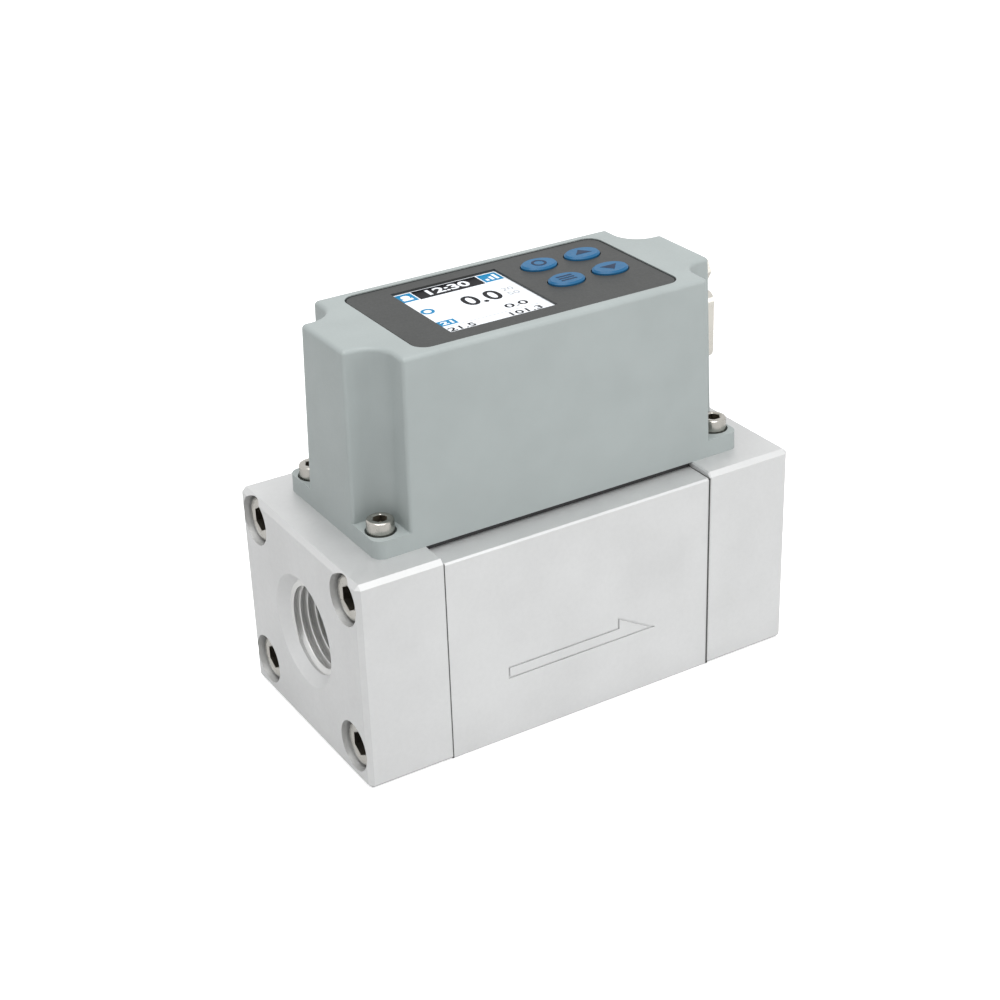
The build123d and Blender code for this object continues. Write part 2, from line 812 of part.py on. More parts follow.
def make_board_link():
    x0 = link_start_x - link_pin_pitch / 2
    x1 = x0 + link_pin_count * link_pin_pitch
    y0 = board_thickness / 2
    z = link_body_z()
    body = block(x0, x1, y0, y0 + link_body_depth, z - link_body_depth / 2, z + link_body_depth / 2)
    for pin in board_link_pins(link_hole_gap):
        body -= pin
    return body


def board_link_pins(grow):
    half = link_pin_side / 2 + grow
    tail = -board_thickness / 2 - link_pin_tail
    z = link_body_z()
    pins = []
    for x in link_pin_places():
        across = block(x - half, x + half, tail, link_pin_y() + half, z - half, z + half)
        up = block(x - half, x + half, link_pin_y() - half, link_pin_y() + half,
                   z - half, display_board_top + link_pin_tail)
        pins.append(across + up)
    return pins


def make_board_link_pins():
    return board_link_pins(0.0)


# Connector
def jack_heights():
    return (connector_z - jack_spacing / 2, connector_z + jack_spacing / 2)


def contact_places():
    front_row = [(-contact_row_offset, (i - 2) * contact_pitch) for i in range(5)]
    back_row = [(contact_row_offset, (i - 1.5) * contact_pitch) for i in range(4)]
    return [(y, connector_z + z) for y, z in front_row + back_row]


def make_connector_shell():
    flange = RectangleRounded(shell_flange_width, shell_flange_length, shell_flange_corner)
    plate = extrude(end_plane(shell_back_x) * flange, amount=shell_thickness)
    front_x = connector_seat_x + shell_reach
    shell = plate + d_prism(0.0, shell_back_x, front_x)
    shell -= d_prism(-shell_skirt_wall, shell_back_x, front_x)
    for z in jack_heights():
        shell -= rod_x(jack_stud_radius + opening_gap, shell_back_x, connector_seat_x, 0, z)
    return shell


def make_connector_insert():
    back_shape = RectangleRounded(insert_back_width, insert_back_length, insert_back_corner)
    back = extrude(end_plane(insert_back_x) * back_shape, amount=insert_back_depth)
    front_x = connector_seat_x + shell_reach - insert_recess
    insert = back + d_prism(-shell_skirt_wall, shell_back_x, front_x)
    for y, z in contact_places():
        insert -= rod_x(contact_hole_radius, front_x - contact_hole_depth, front_x, y, z)
    return insert


def make_connector_contacts():
    # Each tail lies along a face of the main board.
    radius = contact_row_offset - board_thickness / 2
    return [rod_x(radius, insert_back_x - contact_tail_length, insert_back_x, y, z)
            for y, z in contact_places()]


def make_connector_jack_posts():
    end_x = connector_face_x + jack_length
    posts = []
    for z in jack_heights():
        hexagon = RegularPolygon(jack_hex / 2, 6, major_radius=False)
        post = extrude(end_plane(connector_face_x, z) * hexagon, amount=jack_length)
        post -= rod_x(jack_thread_radius, end_x - jack_thread_depth, end_x, 0, z)
        post += rod_x(jack_stud_radius, shell_back_x - jack_nut_thickness, connector_face_x, 0, z)
        posts.append(post)
    return posts


def make_connector_nuts():
    hexagon = RegularPolygon(jack_nut_hex / 2, 6, major_radius=False) - Circle(jack_stud_radius)
    start_x = shell_back_x - jack_nut_thickness
    return [extrude(end_plane(start_x, z) * hexagon, amount=jack_nut_thickness) for z in jack_heights()]


def all_nodes():
    nodes = {
        "inlet_block": make_inlet_block(),
        "flow_body": make_flow_body(),
        "outlet_block": make_outlet_block(),
        "inlet_o_ring": make_inlet_o_ring(),
        "outlet_o_ring": make_outlet_o_ring(),
        "inlet_block_screws": block_screws(inlet_face_x, 1),
        "outlet_block_screws": block_screws(outlet_face_x, -1),
        "inlet_screen": make_inlet_screen(),
        "flow_straightener": make_flow_straightener(),
        "outlet_screen": make_outlet_screen(),
        "sensor_plug": make_sensor_plug(),
        "sensor_plug_o_ring": make_sensor_plug_o_ring(),
        "sensor_plug_screws": make_sensor_plug_screws(),
        "sensor_blade": make_sensor_blade(),
        "sensor_chip": make_sensor_chip(),
        "sensor_link": make_sensor_link(),
        "housing": make_housing(),
        "housing_gasket": make_housing_gasket(),
        "housing_screws": make_housing_screws(),
        "housing_lock_washers": make_housing_lock_washers(),
        "overlay_panel": make_overlay_panel(),
        "display_glass": make_display_glass(),
        "display_backlight": make_display_backlight(),
        "display_board": make_display_board(),
        "display_board_screws": make_display_board_screws(),
        "main_board": make_main_board(),
        "processor_chip": make_processor_chip(),
        "board_link": make_board_link(),
        "board_link_pins": make_board_link_pins(),
        "connector_shell": make_connector_shell(),
        "connector_insert": make_connector_insert(),
        "connector_contacts": make_connector_contacts(),
        "connector_jack_posts": make_connector_jack_posts(),
        "connector_nuts": make_connector_nuts(),
    }
    for name, (x, y) in key_places().items():
        nodes[name + "_key"] = make_key(x, y)
        nodes[name + "_switch"] = make_switch(x, y)
        nodes[name + "_plunger"] = make_plunger(x, y)
    return nodes


def write_node(name, shape):
    if isinstance(shape, list):
        shape = Compound([piece.solid() for piece in shape])
    export_step(shape, os.path.join("parts", name + ".step"))


os.makedirs("parts", exist_ok=True)
for node_name, node_shape in all_nodes().items():
    write_node(node_name, node_shape)
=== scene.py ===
# %% [markdown]
# # A thermal mass flow meter
# This file dresses a finished engineering model of an in-line gas flow meter: three aluminium
# blocks bolted in a row, and on them a grey moulded housing with a small colour display and four
# oval keys.
# The model gives every part its true size in metres, so it is loaded first and everything else is
# placed from it. Here each surface gets its finish, and the fine detail that a machinist or a
# printer would add: pipe threads, knurled screw heads, washers, key symbols and the picture on the
# display.

# %% Load the frame
import json
import math

import bpy
from mathutils import Euler, Matrix, Vector

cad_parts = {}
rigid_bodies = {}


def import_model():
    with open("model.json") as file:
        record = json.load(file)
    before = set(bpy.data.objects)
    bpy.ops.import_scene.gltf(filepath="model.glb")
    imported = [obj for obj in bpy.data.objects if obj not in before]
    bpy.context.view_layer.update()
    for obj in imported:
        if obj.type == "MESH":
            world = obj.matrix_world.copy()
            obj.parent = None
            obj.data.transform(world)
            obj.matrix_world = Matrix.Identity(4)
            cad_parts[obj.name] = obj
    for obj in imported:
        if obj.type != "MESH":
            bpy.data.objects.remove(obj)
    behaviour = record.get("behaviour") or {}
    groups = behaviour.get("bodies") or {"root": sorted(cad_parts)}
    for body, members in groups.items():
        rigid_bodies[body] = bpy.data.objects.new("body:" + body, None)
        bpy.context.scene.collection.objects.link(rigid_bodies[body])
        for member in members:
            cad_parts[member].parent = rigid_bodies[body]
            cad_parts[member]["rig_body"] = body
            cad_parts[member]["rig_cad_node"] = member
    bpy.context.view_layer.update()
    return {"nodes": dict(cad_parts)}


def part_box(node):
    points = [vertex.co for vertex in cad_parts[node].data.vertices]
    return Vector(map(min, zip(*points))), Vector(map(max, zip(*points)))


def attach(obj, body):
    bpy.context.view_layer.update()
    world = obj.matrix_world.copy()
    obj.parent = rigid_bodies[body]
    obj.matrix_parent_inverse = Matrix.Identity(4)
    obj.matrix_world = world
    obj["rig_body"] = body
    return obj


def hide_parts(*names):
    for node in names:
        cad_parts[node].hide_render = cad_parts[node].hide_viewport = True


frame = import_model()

MM = 0.001

# %% [markdown]
# ## Selecting in code
# Operators work on whatever is selected, and the loaded model comes in selected. So each step
# starts from an empty selection in object mode. Faces and points are then picked in code, by the
# way they face or by their place, as one would pick them by hand.


# %% Helpers for selecting
FACING = 0.9


def start_clean():
    if bpy.context.mode != "OBJECT":
        bpy.ops.object.mode_set(mode="OBJECT")
    bpy.ops.object.select_all(action="DESELECT")


def only(piece):
    start_clean()
    piece.select_set(True)
    bpy.context.view_layer.objects.active = piece


def select_nothing_in(piece, kind):
    # kind is VERT or FACE. The piece is left in object mode.
    only(piece)
    bpy.ops.object.mode_set(mode="EDIT")
    bpy.ops.mesh.select_mode(type=kind)
    bpy.ops.mesh.select_all(action="DESELECT")
    bpy.ops.object.mode_set(mode="OBJECT")


def select_faces(piece, wanted):
    # Selects the faces for which wanted(face) is true, and leaves the piece in edit mode.
    select_nothing_in(piece, "FACE")
    for face in piece.data.polygons:
        face.select = wanted(face)
    bpy.ops.object.mode_set(mode="EDIT")


def select_points(piece, wanted):
    # Selects the points for which wanted(place) is true, and leaves the piece in edit mode.
    select_nothing_in(piece, "VERT")
    for vertex in piece.data.vertices:
        vertex.select = wanted(vertex.co)
    bpy.ops.object.mode_set(mode="EDIT")


# %% [markdown]
# ## Finishing a piece
# A finished piece keeps its place in its mesh and its object at the origin, because the patterns
# in its material are measured from the object's origin. It is told which body it rides on, which
# finish slot it takes, and which of the model's parts it stands for.


# %% Helpers for finishing
WELD = 0.0005 * MM


def settle(piece):
    # Puts the object's place, turn and scale into its mesh.
    only(piece)
    bpy.ops.object.transform_apply(location=True, rotation=True, scale=True)


def merge_doubles(piece):
    only(piece)
    bpy.ops.object.mode_set(mode="EDIT")
    bpy.ops.mesh.select_all(action="SELECT")
    bpy.ops.mesh.remove_doubles(threshold=WELD)
    bpy.ops.object.mode_set(mode="OBJECT")


def smooth(piece, degrees):
    # An edge that bends by less than this is shaded as part of a curve.
    only(piece)
    bpy.ops.object.shade_smooth_by_angle(angle=math.radians(degrees))


def join(pieces):
    start_clean()
    for piece in pieces:
        piece.select_set(True)
    bpy.context.view_layer.objects.active = pieces[0]
    if len(pieces) > 1:
        bpy.ops.object.join()
    return bpy.context.active_object


def finish_piece(piece, name, material=None, body="meter", replaces=()):
    # A piece that already wears its finishes is given no material here.
    piece.name = name
    piece.data.name = name
    if material:
        piece.data.materials.clear()
        piece.data.materials.append(material)
    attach(piece, body)
    if replaces:
        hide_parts(*replaces)
    print("made", name, len(piece.data.polygons), "faces")


# %% [markdown]
# ## Materials
# Every finish is built from noise patterns in object space, at the size of the real grain: one or
# two tenths of a millimetre on a blasted or moulded surface. Image textures could show the same
# grain, but they need unwrapped surfaces and blur close up. A fine noise drives the bump, a wider
# one moves the roughness a little, and a large soft one keeps wide faces from looking like flat
# paint.


# %% Material helpers
NOISE_LOW, NOISE_HIGH = 0.3, 0.7
BLOTCH_LOW, BLOTCH_HIGH = 0.35, 0.65


def new_finish(name, color, roughness=0.5):
    material = bpy.data.materials.new(name)
    material.use_nodes = True
    tree = material.node_tree
    shader = tree.nodes["Principled BSDF"]
    shader.inputs["Base Color"].default_value = (*color, 1)
    shader.inputs["Roughness"].default_value = roughness
    return material, tree, shader


def noise_in_mm(tree, grain_mm, detail):
    place = tree.nodes.new("ShaderNodeTexCoord")
    noise = tree.nodes.new("ShaderNodeTexNoise")
    noise.inputs["Scale"].default_value = 1 / (grain_mm * MM)
    noise.inputs["Detail"].default_value = detail
    tree.links.new(place.outputs["Object"], noise.inputs["Vector"])
    return noise.outputs["Fac"]


def add_bump(tree, shader, height, depth_mm):
    bump = tree.nodes.new("ShaderNodeBump")
    bump.inputs["Distance"].default_value = depth_mm * MM
    tree.links.new(height, bump.inputs["Height"])
    tree.links.new(bump.outputs["Normal"], shader.inputs["Normal"])


def vary_roughness(tree, shader, pattern, low, high):
    spread = tree.nodes.new("ShaderNodeMapRange")
    spread.inputs["From Min"].default_value = NOISE_LOW
    spread.inputs["From Max"].default_value = NOISE_HIGH
    spread.inputs["To Min"].default_value = low
    spread.inputs["To Max"].default_value = high
    tree.links.new(pattern, spread.inputs["Value"])
    tree.links.new(spread.outputs["Result"], shader.inputs["Roughness"])


def shade(color, factor):
    return tuple(min(1.0, c * factor) for c in color)


def vary_color(tree, shader, pattern, dark, light):
    ramp = tree.nodes.new("ShaderNodeValToRGB")
    ramp.color_ramp.elements[0].position = BLOTCH_LOW
    ramp.color_ramp.elements[1].position = BLOTCH_HIGH
    ramp.color_ramp.elements[0].color = (*dark, 1)
    ramp.color_ramp.elements[1].color = (*light, 1)
    tree.links.new(pattern, ramp.inputs["Fac"])
    tree.links.new(ramp.outputs["Color"], shader.inputs["Base Color"])


# %% [markdown]
# Metals and plastics share one recipe. They differ in how wide their soft blotches are, in how
# many grains wide the changes in roughness are, and in the metallic and shine settings.


# %% Metal and plastic recipes
TONE_CHANGE = 0.03
METAL_BLOTCH_MM, METAL_BLOTCH_DETAIL = 18, 3
PLASTIC_BLOTCH_MM, PLASTIC_BLOTCH_DETAIL = 12, 4
METAL_SHEEN_GRAINS = 6
PLASTIC_SHEEN_GRAINS = 5
SHEEN_DETAIL = 3
GRAIN_DETAIL = 2


def add_grain(tree, shader, color, change, blotch, grain_mm, depth_mm, sheen_mm, low, high):
    vary_color(tree, shader, blotch, shade(color, 1 - change), shade(color, 1 + change))
    vary_roughness(tree, shader, noise_in_mm(tree, sheen_mm, SHEEN_DETAIL), low, high)
    add_bump(tree, shader, noise_in_mm(tree, grain_mm, GRAIN_DETAIL), depth_mm)


def metal_finish(name, color, grain_mm, depth_mm, low, high, metallic=1.0):
    material, tree, shader = new_finish(name, color)
    shader.inputs["Metallic"].default_value = metallic
    blotch = noise_in_mm(tree, METAL_BLOTCH_MM, METAL_BLOTCH_DETAIL)
    sheen_mm = grain_mm * METAL_SHEEN_GRAINS
    add_grain(tree, shader, color, TONE_CHANGE, blotch, grain_mm, depth_mm, sheen_mm, low, high)
    return material


def plastic_finish(name, color, grain_mm, depth_mm, low, high, change=TONE_CHANGE, shine=0.5):
    material, tree, shader = new_finish(name, color)
    shader.inputs["Specular IOR Level"].default_value = shine
    blotch = noise_in_mm(tree, PLASTIC_BLOTCH_MM, PLASTIC_BLOTCH_DETAIL)
    sheen_mm = grain_mm * PLASTIC_SHEEN_GRAINS
    add_grain(tree, shader, color, change, blotch, grain_mm, depth_mm, sheen_mm, low, high)
    return material


# %% [markdown]
# Each line below is one finish: its name and colour, then the width and the depth of its grain in
# millimetres, then the lowest and highest roughness. The aluminium is not fully metallic, because
# a blasted and anodised face scatters light as a pale paint does.

# %% Metals
blasted_aluminium = metal_finish("blasted_aluminium", (0.615, 0.62, 0.62), 0.16, 0.006, 0.46, 0.56,
                                 metallic=0.7)
turned_aluminium = metal_finish("turned_aluminium", (0.72, 0.72, 0.71), 0.3, 0.003, 0.4, 0.5,
                                metallic=0.8)
bright_steel = metal_finish("bright_steel", (0.47, 0.455, 0.42), 0.25, 0.003, 0.18, 0.28)
# The dark steel below is painted shade for the inside of the hex sockets.
socket_painted_shade = metal_finish("socket_painted_shade", (0.17, 0.155, 0.13), 0.25, 0.003, 0.3, 0.42)
plated_steel = metal_finish("plated_steel", (0.62, 0.60, 0.55), 0.3, 0.003, 0.25, 0.36)
gold_plate = metal_finish("gold_plate", (0.72, 0.5, 0.18), 0.2, 0.002, 0.22, 0.32)

# %% Plastics, rubber and ceramic
moulded_grey = plastic_finish("moulded_grey", (0.350, 0.388, 0.384), 0.12, 0.004, 0.42, 0.52)
overlay_film = plastic_finish("overlay_film", (0.054, 0.056, 0.055), 0.1, 0.002, 0.36, 0.44,
                              change=0.05, shine=0.15)
key_blue = plastic_finish("key_blue", (0.014, 0.12, 0.265), 0.2, 0.002, 0.34, 0.42,
                          change=0.08, shine=0.25)
key_symbol = plastic_finish("key_symbol", (0.005, 0.022, 0.06), 0.2, 0.001, 0.4, 0.5, shine=0.2)
black_rubber = plastic_finish("black_rubber", (0.018, 0.018, 0.019), 0.2, 0.006, 0.6, 0.75,
                              change=0.15)
# The near-black below is painted shade, for the seat round the overlay film.
overlay_seat_shade = plastic_finish("overlay_seat_shade", (0.008, 0.008, 0.008), 0.2, 0.002, 0.5, 0.6,
                           change=0.1, shine=0.1)
# The dark grey below is painted shade, for the gaps between the blocks.
joint_gap_shade = plastic_finish("joint_gap_shade", (0.05, 0.05, 0.048), 0.2, 0.004, 0.5, 0.65,
                              change=0.15)
black_plastic = plastic_finish("black_plastic", (0.022, 0.022, 0.024), 0.15, 0.004, 0.4, 0.5,
                               change=0.1)
cream_plastic = plastic_finish("cream_plastic", (0.56, 0.54, 0.47), 0.15, 0.003, 0.4, 0.5)
white_plastic = plastic_finish("white_plastic", (0.78, 0.78, 0.77), 0.2, 0.002, 0.4, 0.5,
                               change=0.02)
sensor_ceramic = plastic_finish("sensor_ceramic", (0.78, 0.78, 0.74), 0.08, 0.002, 0.35, 0.5,
                                change=0.02)


# %% [markdown]
# A circuit board is woven glass under green lacquer, with copper tracks that show as slightly
# paler bands. A brick pattern at track pitch gives both the tracks and a little relief.


# %% Circuit board finish
TRACK_PITCH = 6 * MM
TRACK_WIDTH = 0.03
TRACK_RELIEF_MM = 0.03


def board_finish():
    material, tree, shader = new_finish("green_board", (0.02, 0.15, 0.06), roughness=0.3)
    place = tree.nodes.new("ShaderNodeTexCoord")
    tracks = tree.nodes.new("ShaderNodeTexBrick")
    tracks.inputs["Scale"].default_value = 1 / TRACK_PITCH
    tracks.inputs["Color1"].default_value = (0.018, 0.13, 0.05, 1)
    tracks.inputs["Color2"].default_value = (0.024, 0.16, 0.065, 1)
    tracks.inputs["Mortar"].default_value = (0.05, 0.26, 0.12, 1)
    tracks.inputs["Mortar Size"].default_value = TRACK_WIDTH
    tree.links.new(place.outputs["Object"], tracks.inputs["Vector"])
    tree.links.new(tracks.outputs["Color"], shader.inputs["Base Color"])
    add_bump(tree, shader, tracks.outputs["Fac"], TRACK_RELIEF_MM)
    return material


green_board = board_finish()


# %% [markdown]
# The display is lit from behind, so its picture glows a little, and its polarising film takes most
# of the shine away. Each colour in the picture is one such finish. The glass under the picture is
# dark and clear-coated.


# %% Display finishes
SCREEN_SHINE = 0.05
SCREEN_TONE_MM = 9
SCREEN_DARK_TONE = 0.97
GLASS_TONE_MM = 6


def lit_finish(name, color, glow):
    material, tree, shader = new_finish(name, color, roughness=0.3)
    shader.inputs["Emission Color"].default_value = (*color, 1)
    shader.inputs["Emission Strength"].default_value = glow
    shader.inputs["Specular IOR Level"].default_value = SCREEN_SHINE
    tone = noise_in_mm(tree, SCREEN_TONE_MM, detail=1)
    vary_color(tree, shader, tone, shade(color, SCREEN_DARK_TONE), color)
    return material


def tinted_glass():
    material, tree, shader = new_finish("tinted_glass", (0.05, 0.055, 0.06))
    shader.inputs["Coat Weight"].default_value = 1.0
    shader.inputs["Coat Roughness"].default_value = 0.03
    vary_roughness(tree, shader, noise_in_mm(tree, GLASS_TONE_MM, detail=2), 0.06, 0.12)
    return material


screen_white = lit_finish("screen_white", (0.80, 0.83, 0.87), glow=0.15)
screen_black = lit_finish("screen_black", (0.008, 0.008, 0.01), glow=0.0)
screen_blue = lit_finish("screen_blue", (0.012, 0.21, 0.42), glow=0.06)
screen_grey = lit_finish("screen_grey", (0.45, 0.47, 0.5), glow=0.05)
dark_glass = tinted_glass()

# %% [markdown]
# ## Give the model's own parts their finish
# A part whose shape is complete keeps its mesh and only takes a material. The table gives the
# parts of the real meter that wear each finish.

# %% Finish of each part
FINISH_OF_PART = {
    blasted_aluminium: ["inlet_block", "flow_body", "outlet_block"],
    turned_aluminium: ["flow_straightener"],
    bright_steel: ["inlet_block_screws", "outlet_block_screws", "sensor_plug_screws",
                   "display_board_screws", "housing_screws", "housing_lock_washers",
                   "inlet_screen", "outlet_screen"],
    plated_steel: ["connector_shell", "connector_jack_posts", "connector_nuts"],
    gold_plate: ["connector_contacts", "board_link_pins"],
    moulded_grey: ["housing"],
    overlay_film: ["overlay_panel"],
    black_rubber: ["inlet_o_ring", "outlet_o_ring", "sensor_plug_o_ring", "housing_gasket"],
    black_plastic: ["sensor_plug", "sensor_link", "board_link", "processor_chip", "sensor_chip"],
    cream_plastic: ["connector_insert"],
    white_plastic: ["display_backlight"],
    sensor_ceramic: ["sensor_blade"],
    green_board: ["main_board", "display_board"],
    dark_glass: ["display_glass"],
}
KEYS = ("cancel", "up", "mode", "down")
FINISH_OF_PART[key_blue] = [key + "_key" for key in KEYS]
FINISH_OF_PART[black_plastic] += [key + "_switch" for key in KEYS]
FINISH_OF_PART[cream_plastic] += [key + "_plunger" for key in KEYS]

finish_of = {part: finish for finish, parts in FINISH_OF_PART.items() for part in parts}
for part, node in frame["nodes"].items():
    node.data.materials.clear()
    node.data.materials.append(finish_of[part])
print("finished parts:", len(finish_of))

# %% [markdown]
# ## Smooth copies of the parts in view
# The loaded meshes are loose triangles, so a rounded corner shows its flats. A copy with its
# doubled corners merged and shaded smooth below a set angle looks machined or moulded, and stands
# for the part without changing its size. Subdividing would round the corners too, but it would
# also move the edges that the machinist meant to be sharp.


# %% Smooth copies
def smooth_copy(part, degrees):
    only(frame["nodes"][part])
    bpy.ops.object.duplicate()
    piece = bpy.context.active_object
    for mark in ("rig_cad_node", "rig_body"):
        del piece[mark]
    piece.parent = None
    merge_doubles(piece)
    bpy.ops.mesh.customdata_custom_splitnormals_clear()
    smooth(piece, degrees)
    return piece


PART_SMOOTHNESS = 24
SMOOTHED = ["inlet_block", "flow_body", "outlet_block", "housing", "overlay_panel",
            "housing_lock_washers", "connector_shell", "connector_insert", "connector_jack_posts"]
for part in SMOOTHED:
    finish_piece(smooth_copy(part, PART_SMOOTHNESS), "dressed_" + part,
                 material=finish_of[part], replaces=[part])

# %% [markdown]
# ## Socket head screws
# The screws in view are cap screws: a round head with a softly rounded upper edge, a knurled side and
# a hexagon socket that looks dark, since little light comes back out of it. That shade is painted: the
# socket's faces take a dark steel colour. The socket could be cut with a boolean, but extruding the
# ends of one cylinder ring by ring keeps even faces that shade cleanly. Sizes that grow with the
# socket or the shank are given as shares of it.


# %% Shape the head
SIDES = 72
ROUND_STEPS = 4
SOCKET_LEAD = 1.06
SOCKET_LEAD_DEPTH = 0.04
SOCKET_CONE_DEPTH = 0.2
SOCKET_CONE_END = 0.2


def raise_ring(height, scale):
    # Extrudes the selected face by height along Z and scales its new outline about the axis.
    bpy.ops.mesh.extrude_region_move(TRANSFORM_OT_translate={"value": (0, 0, height)})
    bpy.ops.transform.resize(value=(scale, scale, 1), center_override=(0, 0, 0))


def round_rim(radius, rim):
    # Rises through a quarter round of radius rim, and returns the radius of the flat on top.
    ring = radius
    for step in range(1, ROUND_STEPS + 1):
        angle = math.radians(90 * step / ROUND_STEPS)
        lift = rim * (math.sin(angle) - math.sin(angle - math.radians(90 / ROUND_STEPS)))
        next_ring = radius - rim + rim * math.cos(angle)
        raise_ring(lift, next_ring / ring)
        ring = next_ring
    return ring


def make_hexagon(screw, width):
    # Moves the selected face's round outline onto a hexagon of this width across its flats.
    bpy.ops.object.mode_set(mode="OBJECT")
    mouth = [v for face in screw.data.polygons if face.select for v in face.vertices]
    for index in mouth:
        point = screw.data.vertices[index].co
        turn = math.atan2(point.y, point.x) % math.radians(60) - math.radians(30)
        point.xy = point.xy.normalized() * width / 2 / math.cos(turn)
    bpy.ops.object.mode_set(mode="EDIT")


def sink_socket(screw, top_radius, socket, socket_depth):
    # Returns the radius of the hexagon's corners.
    corner = socket / 2 / math.cos(math.radians(30))
    raise_ring(0, corner * SOCKET_LEAD / top_radius)
    raise_ring(-SOCKET_LEAD_DEPTH * socket, 1 / SOCKET_LEAD)
    make_hexagon(screw, socket)
    raise_ring(-socket_depth, 1)
    raise_ring(-SOCKET_CONE_DEPTH * socket, SOCKET_CONE_END)
    return corner


# %% Shape the shank and the knurl
SHANK_TIP = 0.3
SHANK_TIP_END = 0.75
KNURL_DEPTH = 0.07 * MM
KNURL_REACH = 0.01 * MM
SOCKET_SHADE_DEPTH = 0.05
SCREW_SMOOTHNESS = 32


def add_shank(screw, head_radius, shank_radius, shank_length):
    select_faces(screw, lambda face: face.normal.z < -FACING)
    raise_ring(0, shank_radius / head_radius)
    raise_ring(-(shank_length - SHANK_TIP * shank_radius), 1)
    raise_ring(-SHANK_TIP * shank_radius, SHANK_TIP_END)
    bpy.ops.object.mode_set(mode="OBJECT")


def knurl_side(screw, radius):
    # Every second point of the head's side moves in a little.
    for vertex in screw.data.vertices:
        on_side = abs(vertex.co.xy.length - radius) < KNURL_REACH
        place = round(math.degrees(math.atan2(vertex.co.y, vertex.co.x)) * SIDES / 360)
        if on_side and place % 2:
            vertex.co.xy *= 1 - KNURL_DEPTH / radius


def paint_socket_shade(screw, corner, top):
    # Faces inside the hexagon's corners, above the head's underside and below top, are the socket.
    # They take the dark socket colour, which is painted shade.
    screw.data.materials.append(bright_steel)
    screw.data.materials.append(socket_painted_shade)
    for face in screw.data.polygons:
        inside = face.center.xy.length < corner and 0 < face.center.z < top
        face.material_index = 1 if inside else 0


def cap_screw(radius, height, rim, socket, socket_depth, shank_radius, shank_length):
    # The underside of the head lies at z = 0, and the shank points down.
    side = height - rim
    start_clean()
    bpy.ops.mesh.primitive_cylinder_add(vertices=SIDES, radius=radius, depth=side,
                                        location=(0, 0, side / 2))
    screw = bpy.context.active_object
    settle(screw)
    select_faces(screw, lambda face: face.normal.z > FACING)
    top_radius = round_rim(radius, rim)
    corner = sink_socket(screw, top_radius, socket, socket_depth)
    add_shank(screw, radius, shank_radius, shank_length)
    knurl_side(screw, radius)
    smooth(screw, SCREW_SMOOTHNESS)
    paint_socket_shade(screw, corner, height - SOCKET_SHADE_DEPTH * socket)
    return screw


# %% [markdown]
# One screw is shaped and then copied to its four places. Each end block is held by four M6
# screws, whose heads lie in counterbores on spring washers. The housing is held down by four M3
# screws. Copies with their own mesh are joined to one piece for each group.


# %% Screws of the end blocks
def copies_at(model, places, turn=(0, 0, 0)):
    # Puts a copy at each place, removes the model and joins the copies.
    pieces = []
    for place in places:
        only(model)
        bpy.ops.object.duplicate()
        piece = bpy.context.active_object
        piece.rotation_euler = turn
        piece.location = place
        settle(piece)
        pieces.append(piece)
    bpy.data.objects.remove(model)
    return join(pieces)


BLOCK_SCREW_Y = 20.5 * MM
BLOCK_SCREW_Z = (7.7 * MM, 42.7 * MM)
BLOCK_SEAT = 8.5 * MM
BLOCK_WASHER = 1.3 * MM
QUARTER = math.radians(90)
INLET_FACE_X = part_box("inlet_block")[0].x
OUTLET_FACE_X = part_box("outlet_block")[1].x
# A block's name, the x of its outer face, the way inwards along X, and the turn about Y that
# points a screw inwards.
END_BLOCKS = (("inlet_block", INLET_FACE_X, 1, -QUARTER), ("outlet_block", OUTLET_FACE_X, -1, QUARTER))


def counterbore_places(face_x, inward, depth):
    x = face_x + inward * depth
    return [(x, y, z) for y in (-BLOCK_SCREW_Y, BLOCK_SCREW_Y) for z in BLOCK_SCREW_Z]


for block, face_x, inward, turn in END_BLOCKS:
    model = cap_screw(radius=5.0 * MM, height=6.0 * MM, rim=0.8 * MM, socket=5.0 * MM,
                      socket_depth=3.0 * MM, shank_radius=3.0 * MM,
                      shank_length=25.0 * MM + BLOCK_WASHER)
    places = counterbore_places(face_x, inward, BLOCK_SEAT - BLOCK_WASHER)
    finish_piece(copies_at(model, places, (0, turn, 0)), "dressed_" + block + "_screws",
                 replaces=[block + "_screws"])

# %% Screws of the housing
HOUSING_SCREW_X = 41.8 * MM
HOUSING_SCREW_Y = 15.2 * MM
HOUSING_HEAD_Z = 52.0 * MM
model = cap_screw(radius=2.9 * MM, height=3.3 * MM, rim=0.5 * MM, socket=2.85 * MM,
                  socket_depth=1.5 * MM, shank_radius=1.5 * MM, shank_length=10.7 * MM)
places = [(x, y, HOUSING_HEAD_Z) for x in (-HOUSING_SCREW_X, HOUSING_SCREW_X)
          for y in (-HOUSING_SCREW_Y, HOUSING_SCREW_Y)]
finish_piece(copies_at(model, places), "dressed_housing_screws",
             replaces=["housing_screws"])

# %% [markdown]
# ## Spring washers under the block screws
# A spring washer is a flat ring with one cut. A torus could be cut open with a boolean, but it is
# simpler to wind a small rectangle with the Screw modifier through a little less than a full turn.
# The gap that stays open is the cut, and its two ends are filled.


# %% Wind an outline about an axis
def flat_section(corners):
    # A square face whose four corners are moved to the given places.
    start_clean()
    bpy.ops.mesh.primitive_plane_add(size=1)
    section = bpy.context.active_object
    for vertex, place in zip(section.data.vertices, corners):
        vertex.co = place
    return section


def wind_outline(section, axis, steps, degrees=360, pitch=0, turns=1):
    # Deletes the section's face, keeps its edges and winds them. pitch is the advance of one turn.
    only(section)
    bpy.ops.object.mode_set(mode="EDIT")
    bpy.ops.mesh.select_all(action="SELECT")
    bpy.ops.mesh.delete(type="ONLY_FACE")
    bpy.ops.object.mode_set(mode="OBJECT")
    wind = section.modifiers.new("wind", "SCREW")
    wind.axis = axis
    wind.angle = math.radians(degrees)
    wind.screw_offset = pitch
    wind.iterations = turns
    wind.steps = steps
    wind.render_steps = steps
    bpy.ops.object.modifier_apply(modifier=wind.name)


